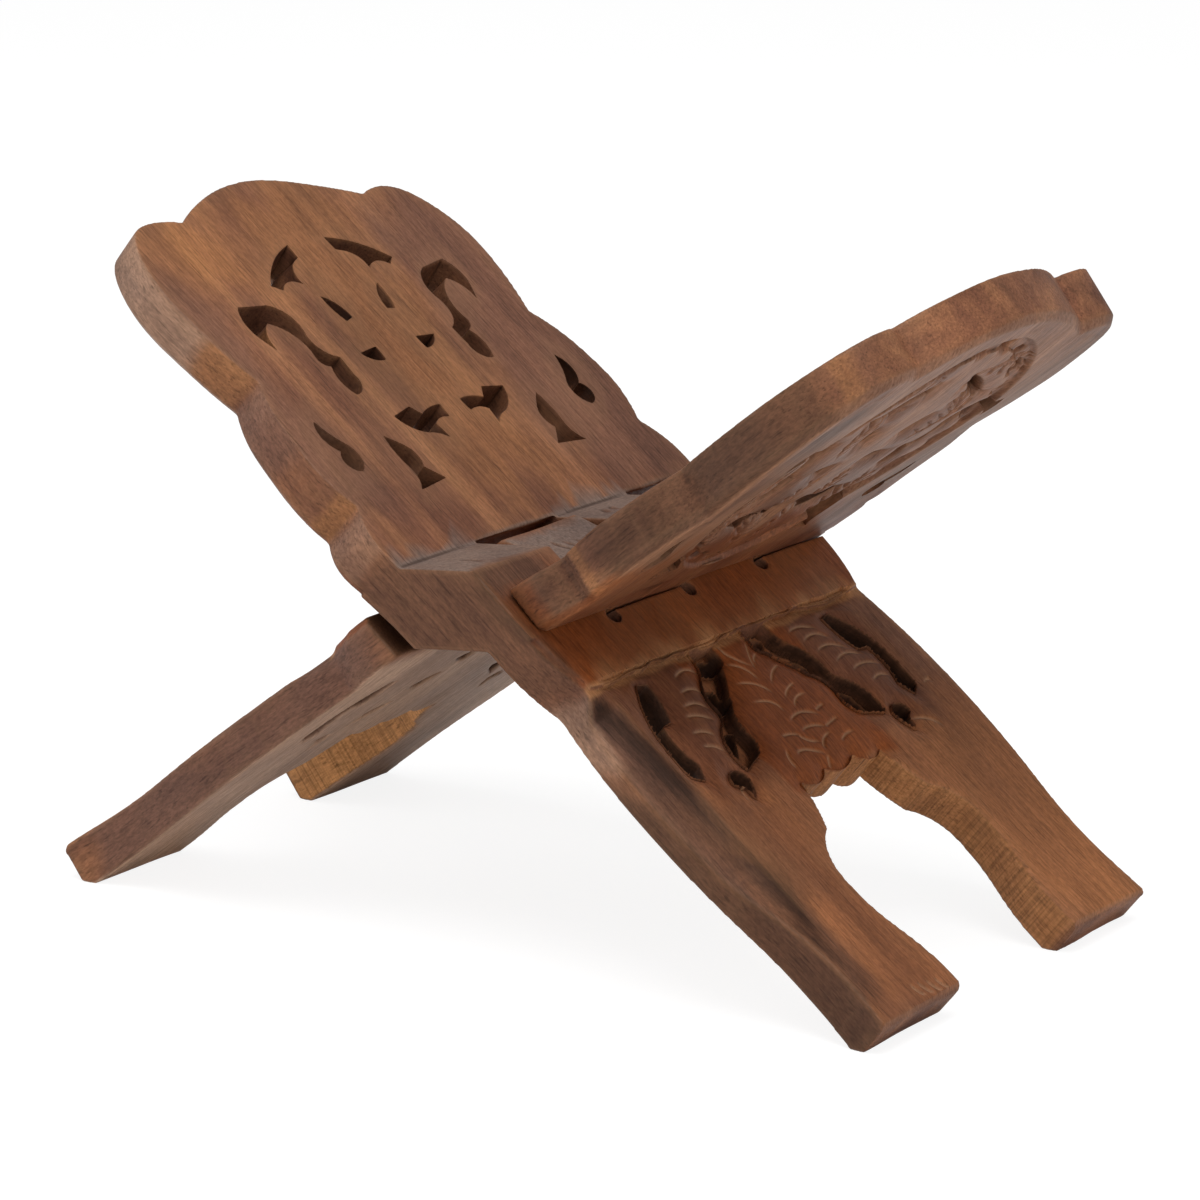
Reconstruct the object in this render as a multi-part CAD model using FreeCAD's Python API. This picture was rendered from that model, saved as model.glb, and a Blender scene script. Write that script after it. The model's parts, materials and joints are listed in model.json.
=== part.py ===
import FreeCAD, Part
import math
import os

# Folding carved book stand, sawn and carved out of one plank.
# Two equal leaves are split from the plank in half thickness and interlock at four knuckles
# that are carved free in its middle, so the hinge has no pin.
# A leaf is modelled standing upright as it lies in the folded plank: X goes through the plank,
# Y runs along the hinge axis and Z along the grain, with the hinge axis at zero.
# Lengths are in millimetres and angles in degrees.

# Plank
PLANK_WIDTH = 141.0
PLANK_THICKNESS = 30.0
UPPER_LENGTH = 148.0
LOWER_LENGTH = 156.5
SAW_KERF = 3.0

# Hinge
OPEN_ANGLE = 104.0
KNUCKLE_COUNT = 4
KNUCKLE_SIDE_GAP = 0.8
STOP_CLEARANCE = 0.3
HINGE_PLAY = 4.0
CREASE_DROP = 0.6
STARTER_HOLE_DIAMETER = 4.5
STARTER_HOLE_DROP = 1.5

# Carving
LEG_FACE_STEP = 1.6
PANEL_FIELD_DEPTH = 2.0
LEAF_GROUND_DEPTH = 4.0
EDGE_BEVEL = 2.0
NOTCH_ROUNDING = 1.5

# Feet
FOOT_FLAT = 4.0

# Cutting tools reach this far past the wood
OVERRUN = 5.0

HALF_WIDTH = PLANK_WIDTH / 2
HALF_THICKNESS = PLANK_THICKNESS / 2
HALF_KERF = SAW_KERF / 2

# The open right leaf slides down the left one by the play of the hinge, until the end of its panel rests on
# the outer face of the left legs. The stand then settles to one side, so that all four feet meet the floor.
# Its leans are in radians.
OPENING = math.radians(OPEN_ANGLE)
STOP_DEPTH = HALF_THICKNESS + STOP_CLEARANCE
SETTLING = math.atan(HINGE_PLAY / (2 * LOWER_LENGTH + (SAW_KERF - HINGE_PLAY) / math.tan(OPENING / 2)))
LEFT_LEAN = OPENING / 2 - SETTLING
RIGHT_LEAN = OPENING / 2 + SETTLING

# Outlines are runs of points on one side of the centre line. A run of two points is straight. A longer one
# is an arc through its first three points, then an arc to each further point, tangent to the one before.
# The first number is a share of the half width. The second is a share of the length above the hinge axis, or
# below it where the name says leg.
LEG_SIDE_SHARES = [
    [(0.957, 1.0), (0.932, 0.87), (0.957, 0.74), (0.99, 0.42), (0.939, 0.268)],
]
PANEL_SIDE_SHARES = [
    [(0.922, 0.257), (0.959, 0.31), (0.965, 0.38), (0.943, 0.46), (0.865, 0.557)],
    [(0.865, 0.557), (0.915, 0.64), (0.936, 0.72), (0.823, 0.88), (0.54, 0.916)],
]
LEG_BAND_SHARE = 0.14
PANEL_BAND_SHARE = 0.15
LEG_STEP_SHARE = 0.268
LEG_ARCH_SHARES = [
    [(0.425, 1.0), (0.425, 0.93), (0.46, 0.855), (0.496, 0.745), (0.362, 0.655)],
    [(0.362, 0.655), (0.312, 0.61), (0.277, 0.559)],
    [(0.277, 0.559), (0.19, 0.573), (0.1, 0.552)],
]
LEG_TONGUE_TIP_SHARE = 0.568
PANEL_FIELD_SHARES = [
    [(0.816, 0.21), (0.837, 0.35), (0.766, 0.527)],
    [(0.766, 0.527), (0.816, 0.7), (0.738, 0.825), (0.54, 0.858)],
]
PANEL_FIELD_TOP_SHARE = 0.94

# Pierced fret of the reading panel, each cut mirrored across the centre line
PANEL_FRET_SHARES = {
    "brow": [
        [(0.113, 0.831), (0.241, 0.807), (0.383, 0.75)],
        [(0.383, 0.75), (0.34, 0.734)],
        [(0.34, 0.734), (0.277, 0.75), (0.21, 0.734)],
        [(0.21, 0.734), (0.206, 0.767), (0.156, 0.79), (0.118, 0.797)],
        [(0.118, 0.797), (0.113, 0.831)],
    ],
    "seed": [
        [(0.182, 0.703), (0.121, 0.666), (0.113, 0.642)],
        [(0.113, 0.642), (0.156, 0.637)],
        [(0.156, 0.637), (0.176, 0.666), (0.182, 0.703)],
    ],
    "hook": [
        [(0.496, 0.711), (0.647, 0.72)],
        [(0.647, 0.72), (0.684, 0.682), (0.67, 0.642), (0.641, 0.612)],
        [(0.641, 0.612), (0.627, 0.647), (0.572, 0.674)],
        [(0.572, 0.674), (0.499, 0.641), (0.482, 0.577), (0.443, 0.55)],
        [(0.443, 0.55), (0.465, 0.517), (0.443, 0.477)],
        [(0.443, 0.477), (0.39, 0.486), (0.366, 0.52)],
        [(0.366, 0.52), (0.359, 0.564)],
        [(0.359, 0.564), (0.426, 0.596), (0.426, 0.635), (0.496, 0.711)],
    ],
    "bead": [
        [(0.128, 0.566), (0.234, 0.561)],
        [(0.234, 0.561), (0.191, 0.541), (0.132, 0.535)],
        [(0.132, 0.535), (0.128, 0.566)],
    ],
    "side_slot": [
        [(0.773, 0.446), (0.801, 0.409), (0.766, 0.372)],
        [(0.766, 0.372), (0.787, 0.334), (0.745, 0.321)],
        [(0.745, 0.321), (0.706, 0.341), (0.716, 0.385), (0.773, 0.446)],
    ],
    "bird": [
        [(0.064, 0.41), (0.142, 0.409), (0.199, 0.4)],
        [(0.199, 0.4), (0.234, 0.423)],
        [(0.234, 0.423), (0.352, 0.412)],
        [(0.352, 0.412), (0.319, 0.382), (0.234, 0.358), (0.163, 0.338)],
        [(0.163, 0.338), (0.174, 0.373)],
        [(0.174, 0.373), (0.113, 0.384), (0.071, 0.38)],
        [(0.071, 0.38), (0.064, 0.41)],
    ],
    "boot": [
        [(0.496, 0.378), (0.508, 0.338), (0.502, 0.301), (0.539, 0.25)],
        [(0.539, 0.25), (0.369, 0.259)],
        [(0.369, 0.259), (0.431, 0.294)],
        [(0.431, 0.294), (0.411, 0.321), (0.433, 0.348), (0.496, 0.378)],
    ],
}

# Pierced slots round the carved leaves above the arch, each mirrored across the centre line
LEG_FRET_SHARES = {
    "border_slot": [
        [(0.652, 0.288), (0.709, 0.319), (0.759, 0.361), (0.787, 0.409), (0.794, 0.454), (0.787, 0.479)],
        [(0.787, 0.479), (0.73, 0.493)],
        [(0.73, 0.493), (0.692, 0.462)],
        [(0.692, 0.462), (0.716, 0.422), (0.702, 0.376)],
        [(0.702, 0.376), (0.645, 0.374)],
        [(0.645, 0.374), (0.603, 0.326), (0.596, 0.294)],
        [(0.596, 0.294), (0.652, 0.288)],
    ],
    "top_eye": [
        [(0.113, 0.285), (0.184, 0.274), (0.255, 0.28)],
        [(0.255, 0.28), (0.234, 0.297), (0.149, 0.316)],
        [(0.149, 0.316), (0.113, 0.304), (0.113, 0.285)],
    ],
    "middle_eye": [
        [(0.213, 0.338), (0.284, 0.338), (0.355, 0.364)],
        [(0.355, 0.364), (0.312, 0.385), (0.255, 0.38)],
        [(0.255, 0.38), (0.213, 0.338)],
    ],
    "lower_eye": [
        [(0.326, 0.422), (0.39, 0.425), (0.457, 0.442)],
        [(0.457, 0.442), (0.46, 0.468), (0.475, 0.489)],
        [(0.475, 0.489), (0.397, 0.466), (0.326, 0.422)],
    ],
    "leaf_tip_eye": [
        [(0.518, 0.511), (0.596, 0.5), (0.617, 0.518)],
        [(0.617, 0.518), (0.574, 0.53)],
        [(0.574, 0.53), (0.567, 0.555)],
        [(0.567, 0.555), (0.532, 0.534), (0.518, 0.511)],
    ],
}
LEG_GROUND_SHARES = [
    [(0.106, 0.27), (0.142, 0.313), (0.206, 0.351), (0.298, 0.396),
     (0.319, 0.441), (0.383, 0.489), (0.482, 0.503)],
    [(0.482, 0.503), (0.468, 0.441), (0.404, 0.412), (0.369, 0.38),
     (0.362, 0.355), (0.312, 0.323), (0.262, 0.27)],
    [(0.262, 0.27), (0.106, 0.27)],
]


def flat_point(share, length):
    """A point of an outline on the middle plane of the plank."""
    return FreeCAD.Vector(0, share[0] * HALF_WIDTH, share[1] * length)


def across(point):
    """The same point on the other side of the centre line."""
    return FreeCAD.Vector(point.x, -point.y, point.z)


def tangent_arc(start, heading, end):
    """Three points of the arc that leaves start along a heading and reaches end, and its heading there."""
    through_plank = FreeCAD.Vector(1, 0, 0)
    chord = end - start
    turn = math.atan2(chord.cross(heading).dot(through_plank), chord.dot(heading))
    middle = (start + end) / 2 + through_plank.cross(chord) * (math.tan(turn / 2) / 2)
    swing = FreeCAD.Rotation(through_plank, -2 * math.degrees(turn))
    return (start, middle, end), swing.multVec(heading)


def run_strokes(points):
    """The strokes of one run: a straight stroke has two points and an arc three."""
    strokes = [tuple(points[:3])]
    if len(points) > 3:
        first = Part.Arc(*strokes[0]).toShape()
        heading = first.tangentAt(first.LastParameter)
    for start, end in zip(points[2:], points[3:]):
        stroke, heading = tangent_arc(start, heading, end)
        strokes.append(stroke)
    return strokes


def strokes_of(runs, length):
    """The strokes of runs given in shares."""
    return [stroke for run in runs for stroke in run_strokes([flat_point(share, length) for share in run])]


def mirrored(strokes):
    """The strokes on the other side, in the order that goes back to where these began."""
    return [tuple(across(point) for point in reversed(stroke)) for stroke in reversed(strokes)]


def stroke_edge(stroke):
    curve = Part.LineSegment(*stroke) if len(stroke) == 2 else Part.Arc(*stroke)
    return curve.toShape()


def face_of(strokes):
    """A flat face inside strokes that follow each other in a closed loop."""
    return Part.Face(Part.Wire([stroke_edge(stroke) for stroke in strokes]))


def crowned_face(side, top):
    """A face with one side mirrored, an arc over its end and a straight foot between its starts."""
    start = side[0][0]
    end = side[-1][-1]
    crown = (end, FreeCAD.Vector(0, 0, top), across(end))
    return face_of(side + [crown] + mirrored(side) + [(across(start), start)])


def through(face, low, high):
    """The face pulled out into a slab between two depths of the plank."""
    slab = face.extrude(FreeCAD.Vector(high - low, 0, 0))
    slab.translate(FreeCAD.Vector(low, 0, 0))
    return slab


def block(depths, breadths, heights):
    """A plain block between two depths, two breadths and two heights."""
    corner = FreeCAD.Vector(depths[0], breadths[0], heights[0])
    return Part.makeBox(depths[1] - depths[0], breadths[1] - breadths[0], heights[1] - heights[0], corner)


def prism(profile, breadths):
    """A profile of depths and heights pulled out between two breadths."""
    corners = [FreeCAD.Vector(depth, breadths[0], height) for depth, height in profile]
    face = Part.Face(Part.makePolygon(corners + corners[:1]))
    return face.extrude(FreeCAD.Vector(0, breadths[1] - breadths[0], 0))


def plank_outline():
    """Lobed panel above, straight hinge band in the middle and spread legs below."""
    leg = strokes_of(LEG_SIDE_SHARES, -LOWER_LENGTH)
    panel = strokes_of(PANEL_SIDE_SHARES, UPPER_LENGTH)
    band_low = FreeCAD.Vector(0, HALF_WIDTH, -LEG_BAND_SHARE * LOWER_LENGTH)
    band_high = FreeCAD.Vector(0, HALF_WIDTH, PANEL_BAND_SHARE * UPPER_LENGTH)
    low_shoulder, _ = tangent_arc(band_low, band_low - band_high, leg[-1][-1])
    high_shoulder, _ = tangent_arc(band_high, band_high - band_low, panel[0][0])
    band = [tuple(reversed(low_shoulder)), (band_low, band_high), high_shoulder]
    return crowned_face(leg + band + panel, UPPER_LENGTH)


def arch_outline():
    """The space between the legs, up to the scalloped end of the carved tongue."""
    side = strokes_of(LEG_ARCH_SHARES, -LOWER_LENGTH)
    foot = side[0][0]
    below = foot - FreeCAD.Vector(0, 0, OVERRUN)
    return crowned_face([(below, foot)] + side, -LEG_TONGUE_TIP_SHARE * LOWER_LENGTH)


def panel_field_outline():
    """The sunk field for the carving on the back of the reading panel."""
    return crowned_face(strokes_of(PANEL_FIELD_SHARES, UPPER_LENGTH), PANEL_FIELD_TOP_SHARE * UPPER_LENGTH)


def both_sides(runs, length):
    """The face inside one closed cut and its mirror image."""
    strokes = strokes_of(runs, length)
    return [face_of(strokes), face_of(mirrored(strokes))]


def knuckle_spans():
    """Breadths of this leaf's knuckles: every other one, from the near end."""
    pitch = PLANK_WIDTH / KNUCKLE_COUNT
    spans = []
    for index in range(0, KNUCKLE_COUNT, 2):
        near = -HALF_WIDTH + index * pitch
        low = near if index == 0 else near + KNUCKLE_SIDE_GAP / 2
        spans.append((low, near + pitch - KNUCKLE_SIDE_GAP / 2))
    return spans


def panel_end(depth):
    """Height of the panel's slanted end at a depth: open, it rests flat on the legs of the other leaf."""
    return (STOP_DEPTH - (HINGE_PLAY - depth) * math.cos(OPENING)) / math.sin(OPENING)


def leg_end(depth):
    """Height of the legs' slanted end at a depth: open, it lies flat under the panel of the other leaf."""
    return -(STOP_DEPTH + HINGE_PLAY - depth * math.cos(OPENING)) / math.sin(OPENING)


def knuckle_profile():
    """A knuckle carries the panel over to the legs, with a slanted facet on each side of the axis."""
    crease = panel_end(-HALF_KERF) - CREASE_DROP
    return [
        (-HALF_THICKNESS, panel_end(-HALF_THICKNESS)), (-HALF_THICKNESS, 0),
        (HALF_KERF, -crease), (HALF_KERF, leg_end(HALF_KERF)),
        (HALF_THICKNESS, leg_end(HALF_THICKNESS)), (HALF_THICKNESS, 0),
        (-HALF_KERF, crease), (-HALF_KERF, panel_end(-HALF_KERF)),
    ]


def notch_places():
    """Where the outline turns in sharply, on both sides of the plank."""
    ends = [(LEG_SIDE_SHARES[-1][-1], -LOWER_LENGTH), (PANEL_SIDE_SHARES[-1][-1], UPPER_LENGTH)]
    ends += [(run[0], UPPER_LENGTH) for run in PANEL_SIDE_SHARES]
    places = [flat_point(share, length) for share, length in ends]
    return places + [across(place) for place in places]


def stands_on(edge, place):
    """Whether an edge goes straight through the plank at a place of the outline."""
    drift = [abs(vertex.Y - place.y) + abs(vertex.Z - place.z) for vertex in edge.Vertexes]
    return max(drift) < NOTCH_ROUNDING


def rounded_slab(face, inner, outer):
    """A slab of the plank with eased notches, whose outline is bevelled on its outer face."""
    slab = through(face, min(inner, outer), max(inner, outer))
    notches = [edge for edge in slab.Edges if any(stands_on(edge, place) for place in notch_places())]
    slab = slab.makeFillet(NOTCH_ROUNDING, notches)
    rim = [edge for edge in slab.Edges if max(abs(vertex.X - outer) for vertex in edge.Vertexes) < HALF_KERF]
    return slab.makeChamfer(EDGE_BEVEL, rim)


def leaf_blank():
    """The leaf before carving: panel and legs in opposite halves of the plank, joined by its knuckles."""
    outline = plank_outline()
    wide = (-PLANK_WIDTH, PLANK_WIDTH)
    top = UPPER_LENGTH + OVERRUN
    bottom = -LOWER_LENGTH - OVERRUN
    back, front = -PLANK_THICKNESS, PLANK_THICKNESS
    panel = rounded_slab(outline, -HALF_KERF, -HALF_THICKNESS)
    panel = panel.common(prism([(0, panel_end(0)), (back, panel_end(back)), (back, top), (0, top)], wide))
    legs = rounded_slab(outline, HALF_KERF, HALF_THICKNESS)
    legs = legs.common(prism([(0, leg_end(0)), (front, leg_end(front)), (front, bottom), (0, bottom)], wide))
    knuckles = [prism(knuckle_profile(), span) for span in knuckle_spans()]
    return panel.fuse([legs] + knuckles).removeSplitter()


def leg_cuts():
    """Arch, lowered leg face, sunk ground between the leaves, pierced slots and the saw's starter holes."""
    face_depth = HALF_THICKNESS - LEG_FACE_STEP
    past_face = HALF_THICKNESS + OVERRUN
    step = -LEG_STEP_SHARE * LOWER_LENGTH
    wide = (-PLANK_WIDTH, PLANK_WIDTH)
    cuts = [through(arch_outline(), 0, past_face)]
    cuts.append(block((face_depth, past_face), wide, (-LOWER_LENGTH - OVERRUN, step)))
    for face in both_sides(LEG_GROUND_SHARES, -LOWER_LENGTH):
        cuts.append(through(face, face_depth - LEAF_GROUND_DEPTH, past_face))
    for runs in LEG_FRET_SHARES.values():
        for face in both_sides(runs, -LOWER_LENGTH):
            cuts.append(through(face, 0, past_face))
    for index in range(1, KNUCKLE_COUNT):
        breadth = index * PLANK_WIDTH / KNUCKLE_COUNT - HALF_WIDTH
        place = FreeCAD.Vector(0, breadth, leg_end(HALF_THICKNESS) - STARTER_HOLE_DROP)
        cuts.append(Part.makeCylinder(STARTER_HOLE_DIAMETER / 2, past_face, place, FreeCAD.Vector(1, 0, 0)))
    return cuts


def panel_cuts():
    """Sunk field on the back of the reading panel and the fret pierced through it."""
    past_face = -HALF_THICKNESS - OVERRUN
    cuts = [through(panel_field_outline(), past_face, PANEL_FIELD_DEPTH - HALF_THICKNESS)]
    for runs in PANEL_FRET_SHARES.values():
        for face in both_sides(runs, UPPER_LENGTH):
            cuts.append(through(face, past_face, 0))
    return cuts


def carved_leaf():
    leaf = leaf_blank()
    for cut in leg_cuts() + panel_cuts():
        leaf = leaf.cut(cut)
    return leaf


def hinge_height():
    """Height of the left leaf's hinge axis over the floor, with the toes worn to flats."""
    worn = FOOT_FLAT * math.sin(LEFT_LEAN) * math.cos(LEFT_LEAN)
    return LOWER_LENGTH * math.cos(LEFT_LEAN) - HALF_KERF * math.sin(LEFT_LEAN) - worn


def standing(leaf, turn, lean, slip):
    """The leaf slipped back through its thickness, turned round, leaned over and set on the floor."""
    up = FreeCAD.Vector(0, 0, 1)
    along = FreeCAD.Vector(0, 1, 0)
    placed = leaf.copy()
    placed.translate(FreeCAD.Vector(-slip, 0, 0))
    placed.rotate(FreeCAD.Vector(0, 0, 0), up, turn)
    placed.rotate(FreeCAD.Vector(0, 0, 0), along, math.degrees(lean))
    placed.translate(FreeCAD.Vector(0, 0, hinge_height()))
    reach = UPPER_LENGTH + LOWER_LENGTH
    floor = block((-reach, reach), (-reach, reach), (-reach, 0))
    return placed.cut(floor)


def main():
    os.makedirs("parts", exist_ok=True)
    leaf = carved_leaf()
    half_turn = 180
    nodes = {
        "left_leaf": standing(leaf, 0, -LEFT_LEAN, 0),
        "right_leaf": standing(leaf, half_turn, RIGHT_LEAN, HINGE_PLAY),
    }
    footprint = Part.makeCompound(list(nodes.values())).BoundBox
    to_middle = FreeCAD.Vector(-footprint.Center.x, 0, 0)
    print("hinge axis of the left leaf at x", round(to_middle.x, 4), "z", round(hinge_height(), 4))
    for name, shape in nodes.items():
        shape.translate(to_middle)
        shape.exportStep(os.path.join("parts", name + ".step"))
        box = shape.BoundBox
        print(name, "valid", shape.isValid(), "solids", len(shape.Solids), "volume", round(shape.Volume))
        print("  x", round(box.XMin, 2), round(box.XMax, 2), "y", round(box.YMin, 2), round(box.YMax, 2),
              "z", round(box.ZMin, 2), round(box.ZMax, 2))


main()
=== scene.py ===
import json
import math

import bmesh
import bpy
import numpy as np
from mathutils import Matrix, Vector
from mathutils.kdtree import KDTree


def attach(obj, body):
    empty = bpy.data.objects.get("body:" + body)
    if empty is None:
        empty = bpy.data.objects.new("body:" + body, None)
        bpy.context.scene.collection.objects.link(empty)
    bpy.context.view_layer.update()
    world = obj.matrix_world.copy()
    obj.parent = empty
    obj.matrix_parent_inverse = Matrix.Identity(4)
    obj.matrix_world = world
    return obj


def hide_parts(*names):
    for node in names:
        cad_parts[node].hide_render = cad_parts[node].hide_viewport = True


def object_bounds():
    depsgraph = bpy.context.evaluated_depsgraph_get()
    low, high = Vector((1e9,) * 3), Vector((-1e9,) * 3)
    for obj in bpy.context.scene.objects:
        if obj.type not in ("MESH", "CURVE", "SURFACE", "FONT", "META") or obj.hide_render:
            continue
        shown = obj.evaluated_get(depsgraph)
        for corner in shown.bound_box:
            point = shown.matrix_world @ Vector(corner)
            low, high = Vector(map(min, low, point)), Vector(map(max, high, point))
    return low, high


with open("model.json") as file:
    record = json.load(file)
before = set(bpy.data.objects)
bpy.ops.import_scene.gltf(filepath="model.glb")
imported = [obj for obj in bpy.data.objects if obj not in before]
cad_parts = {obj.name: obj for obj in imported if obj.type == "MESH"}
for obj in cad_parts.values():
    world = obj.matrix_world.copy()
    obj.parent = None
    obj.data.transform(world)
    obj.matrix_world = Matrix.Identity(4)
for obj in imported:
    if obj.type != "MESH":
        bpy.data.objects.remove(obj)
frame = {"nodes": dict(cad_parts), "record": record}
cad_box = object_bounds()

# Folding carved book stand in brown hardwood.
# Each leaf is carved in the frame of the plank that it was sawn from: n goes through the plank, y runs along
# the hinge and a along the grain, with the hinge axis at zero. Panels lie above it and legs below.
# Lengths are in millimetres unless a name says otherwise. A pair of values is a range, or where a smooth
# change starts and where it is complete.
MM = 0.001

# Plank, as the solids have it
HALF_KERF = 1.5
HALF_THICKNESS = 15.0
STEP_HEIGHT = -42.0
READING_MOUNT_HEIGHT = 88.0

# Meshing
MESH_DEPTH = 9
MESH_SCALE = 0.97
MOST_TRIANGLES = 190000
KEPT_CUT = 0.05
SHARP_EDGE_ANGLE = 50.0
BOX_MARGIN = 0.001

# Carved faces that get a finer mesh: ranges of n, y and a
FINE_FACES = [
    ((8.0, 20.0), (-64.0, 64.0), (-92.0, -41.0)),
    ((12.0, 20.0), (-50.0, -32.0), (-200.0, -147.0)),
    ((-14.6, -12.0), (-58.0, 58.0), (30.0, 140.0)),
]
FINE_FACE_FACING = 0.8

# Softening of the hand-worked surface: the panel's fret keeps crisp rims, other edges are worn
SOFTENING_ROUNDS = 3
OUTER_SOFTENING_SHARE = 0.5
FRET_SOFTENING_SHARE = 0.1
FRET_HALF_WIDTH = 58.0
PANEL_FRET = (24.0, 127.0)
FRET_FADE = 1.0

# Holes that narrow towards their back, as the saw leaned in them
BROW_HALF_WIDTH = 29.0
BROW_HEIGHTS = (104.0, 126.0)
HOOK_SIDES = (22.0, 51.0)
HOOK_HEIGHTS = (67.0, 109.0)
LEG_FRET = (-85.0, -43.0)
PANEL_FRET_NARROWING = 1.7
PANEL_FRET_LEAN = (2.0, 13.0)
LEG_FRET_NARROWING = 1.3
LEG_FRET_LEAN = (-9.0, -2.0)
NARROWING_ROUNDS = 6
STEEP_FACING = 0.3

# Unevenness that the chisel, rasp and sandpaper leave: wave lengths along n, y and a, then height
WAVE_STRETCH = 0.6
BROAD_WAVES = (40.0, 50.0, 70.0)
BROAD_HEIGHT = 0.1
RASP_WAVES = (60.0, 26.0, 26.0)
RASP_HEIGHT = 0.14
WALL_FACING = (0.3, 0.7)
SIDE_FACING = (0.3, 0.75)

# Carved strokes on the leg face of the leaf, each through three places (y, a)
NEAR_LEAF_CUTS = [
    [(-31.3, -47.5), (-25.0, -46.0), (-20.2, -48.4)],
    [(-34.0, -52.0), (-28.2, -51.7), (-24.2, -54.0)],
    [(-37.4, -56.0), (-31.4, -56.0), (-28.4, -58.7)],
    [(-39.6, -58.8), (-34.4, -59.5), (-30.0, -62.3)],
    [(-42.4, -63.7), (-37.5, -64.2), (-34.2, -66.6)],
    [(-42.7, -68.2), (-38.3, -69.2), (-35.3, -71.7)],
]
FAR_LEAF_CUTS = [
    [(24.5, -46.8), (30.6, -46.3), (35.7, -48.7)],
    [(27.2, -50.8), (33.6, -49.9), (37.8, -52.8)],
    [(29.0, -55.0), (35.7, -54.4), (41.6, -57.6)],
    [(32.3, -59.8), (39.4, -58.5), (45.4, -60.7)],
    [(35.8, -64.0), (42.0, -63.0), (48.4, -65.0)],
    [(39.6, -68.9), (44.4, -68.0), (48.0, -69.2)],
]
MIDDLE_LEAF_VEINS = [
    [(6.9, -44.3), (2.7, -48.6), (0.0, -53.4)],
    [(-4.3, -42.3), (-5.0, -46.4), (0.4, -52.7)],
    [(-8.0, -48.8), (-3.7, -52.2), (-2.3, -56.6)],
    [(2.2, -51.6), (3.6, -50.0), (6.5, -48.9)],
    [(1.3, -58.8), (6.0, -55.5), (10.8, -54.5)],
    [(-11.4, -55.2), (-4.8, -57.5), (-1.5, -61.6)],
    [(-12.0, -62.0), (-5.2, -63.8), (-3.6, -67.6)],
    [(1.8, -64.0), (5.2, -62.0), (10.0, -61.0)],
    [(2.0, -67.7), (5.5, -65.2), (10.6, -65.0)],
]
MIDDLE_LEAF_SCALES = [
    [(-4.4, -70.8), (2.6, -69.5), (8.6, -72.3)],
    [(8.4, -70.7), (11.0, -70.0), (13.3, -69.8)],
    [(-3.3, -74.6), (2.0, -74.3), (6.6, -76.0)],
    [(6.6, -76.0), (9.6, -75.4), (14.0, -74.7)],
    [(-12.3, -74.0), (-8.6, -74.2), (-5.5, -75.5)],
    [(-6.0, -75.0), (-4.2, -77.5), (-0.2, -79.4)],
    [(-12.5, -80.4), (-8.0, -79.8), (-1.8, -83.2)],
    [(-1.0, -82.0), (2.0, -79.0), (6.4, -78.0)],
    [(8.0, -81.5), (11.6, -80.2), (15.4, -80.2)],
    [(-15.0, -77.7), (-16.8, -81.0), (-16.6, -83.7)],
    [(-1.7, -83.6), (-3.0, -85.5), (-4.0, -87.2)],
]
LEG_TIP_CUTS = [
    [(41.7, -83.3), (47.0, -85.3), (50.0, -89.0)],
    [(58.2, -75.3), (60.6, -74.8), (60.7, -76.0)],
    [(-40.3, -82.0), (-42.5, -84.4), (-42.6, -87.0)],
]
NEAR_FOOT_HATCH = [
    [(-46.5, -149.5), (-46.0, -152.0), (-44.5, -154.0)],
    [(-43.5, -150.0), (-42.8, -152.5), (-41.2, -154.5)],
    [(-40.3, -150.5), (-39.5, -153.0), (-38.0, -155.0)],
    [(-37.0, -151.0), (-36.2, -153.5), (-34.8, -155.2)],
]
LEG_CUTS = NEAR_LEAF_CUTS + FAR_LEAF_CUTS + MIDDLE_LEAF_SCALES + LEG_TIP_CUTS + NEAR_FOOT_HATCH
LEG_FACE_FACING = 0.4
LEG_FACE_DEPTH = 5.0
LEG_FACE_TOP = -41.0
CUT_WIDTH = 0.5
CUT_DEPTH = 0.65
CUT_ENDS = (-0.05, 0.25)
CUT_FADE_WIDTHS = 4
VEIN_WIDTH = 0.35
VEIN_DEPTH = 0.35
PALE_WIDTH = 0.36

# Rounded edges of the leaves over the arch, which fade at their foot and sides
LEAF_DROOP = 1.3
LEAF_SLOPE = 2.6
LEAVES_FOOT = (-94.0, -88.0)
LEAVES_SIDES = (-62.0, -57.0)

# The step under the hinge band wanders: wave length, share and seed of each wave
STEP_WAVES = [(26.0, 1.0, 5), (9.0, 0.4, 6)]
STEP_WANDER = 0.45
STEP_REACH = 3.5
STEP_DEPTH = 9.0
STEP_HALF_WIDTH = 66.0

# Torn fibres on the slanted facets of the knuckles, through three places (y, a)
LEFT_FACET_TEARS = [
    [(8.0, 8.5), (10.0, 10.0), (12.5, 12.5)],
    [(13.0, 8.0), (14.0, 10.5), (16.5, 12.0)],
    [(-58.0, 4.0), (-57.0, 7.0), (-57.5, 10.0)],
]
RIGHT_FACET_TEARS = [
    [(23.0, 5.0), (21.5, 8.0), (21.0, 11.5)],
    [(19.0, 6.0), (17.5, 9.0), (17.5, 12.5)],
    [(15.0, 6.5), (13.0, 9.5), (12.0, 12.0)],
    [(10.0, 7.5), (8.5, 9.5), (8.0, 12.0)],
]
FACET_FACING_N = 0.5
FACET_FACING_A = 0.4
FACET_HEIGHTS = (1.0, 17.0)
TEAR_WIDTH = 0.6
TEAR_DEPTH = 0.5

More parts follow.
